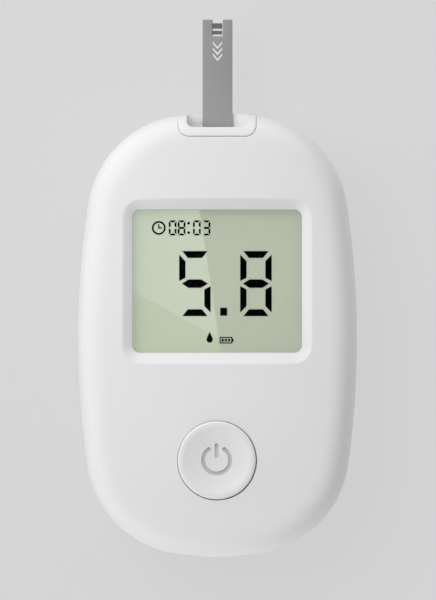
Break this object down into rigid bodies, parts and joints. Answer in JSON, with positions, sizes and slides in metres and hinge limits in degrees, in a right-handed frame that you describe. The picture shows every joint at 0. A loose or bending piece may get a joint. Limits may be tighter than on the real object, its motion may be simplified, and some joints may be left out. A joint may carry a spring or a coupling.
{
  "type": "blood glucose meter",
  "caption": "Pocket blood glucose meter: soft white case, grey-green segment display, round button, strip port with a test strip, strip ejector and battery door.",
  "frame": {"origin": "middle of the case on its flat back, where the meter rests", "axes": "+X to the right as the display is read, +Y along the case towards the strip port, +Z out of the display"},
  "size_m": [0.055, 0.1059, 0.0203],
  "materials": {
    "case_plastic": "fine satin moulding",
    "button_plastic": "fine satin moulding",
    "slider_plastic": "fine satin moulding",
    "clear_acrylic": "polished",
    "polariser_film": "clear film",
    "display_glass": "polished",
    "reflector_film": "satin",
    "segment_black": "dark liquid crystal segments",
    "inner_plastic": "moulded",
    "black_foam": "foam and tape",
    "zebra_rubber": "silicone",
    "circuit_board": "solder mask",
    "screw_steel": "zinc plated",
    "spring_steel": "drawn wire",
    "contact_nickel": "nickel plated",
    "contact_gold": "gold plated",
    "black_plastic": "moulded",
    "connector_plastic": "moulded",
    "chip_epoxy": "moulded epoxy",
    "component_ceramic": "ceramic",
    "cell_sleeve": "printed sleeve, plain",
    "strip_film": "plastic film",
    "strip_carbon": "printed carbon",
    "strip_tape": "printed film"
  },
  "bodies": {
    "case": {"front_shell": "case_plastic", "rear_shell": "case_plastic", "display_lens": "clear_acrylic", "lens_adhesive": "black_foam", "lcd_gasket": "black_foam", "lcd_front_polariser": "polariser_film", "lcd_front_glass": "display_glass", "lcd_segments": "segment_black", "lcd_rear_glass": "display_glass", "lcd_reflector": "reflector_film", "lcd_holder": "inner_plastic", "elastomer_connectors": "zebra_rubber", "main_pcb": "circuit_board", "pcb_screws": "screw_steel", "case_screws": "screw_steel", "switch_body": "black_plastic", "port_insert": "case_plastic", "strip_connector": "connector_plastic", "strip_contacts": "contact_gold", "ejector_spring": "spring_steel", "cell_left": "cell_sleeve", "cell_right": "cell_sleeve", "cell_link_contact": "contact_nickel", "cell_link_spring": "spring_steel", "cell_plus_contact": "contact_nickel", "cell_minus_contact": "contact_nickel", "cell_minus_spring": "spring_steel", "buzzer": "black_plastic", "processor_chip": "chip_epoxy", "analogue_chip": "chip_epoxy", "memory_chip": "chip_epoxy", "clock_crystal": "screw_steel", "small_components": "component_ceramic"},
    "button": {"button_cap": "button_plastic", "switch_plunger": "inner_plastic"},
    "ejector": {"ejector_pusher": "inner_plastic", "ejector_thumb_pad": "slider_plastic"},
    "strip": {"strip_base": "strip_film", "strip_electrodes": "strip_carbon", "strip_cover": "strip_tape"},
    "door": {"battery_door": "case_plastic"}
  },
  "joints": [
    {"name": "button_press", "type": "slide", "parent": "case", "child": "button", "axis": [0, 0, -1], "range_m": [0, 0.0004], "stiffness_N_per_m": 2000, "springref_m": -0.0004},
    {"name": "ejector_slide", "type": "slide", "parent": "case", "child": "ejector", "axis": [0, 1, 0], "range_m": [0, 0.006], "stiffness_N_per_m": 250, "springref_m": -0.002, "deforming": ["ejector_spring"]},
    {"name": "strip_slide", "type": "slide", "parent": "ejector", "child": "strip", "axis": [0, 1, 0], "range_m": [0, 0.014]},
    {"name": "battery_door_swing", "type": "hinge", "parent": "case", "child": "door", "pos_m": [0, -0.0374, 0], "axis": [-1, 0, 0], "range_deg": [0, 75]}
  ]
}
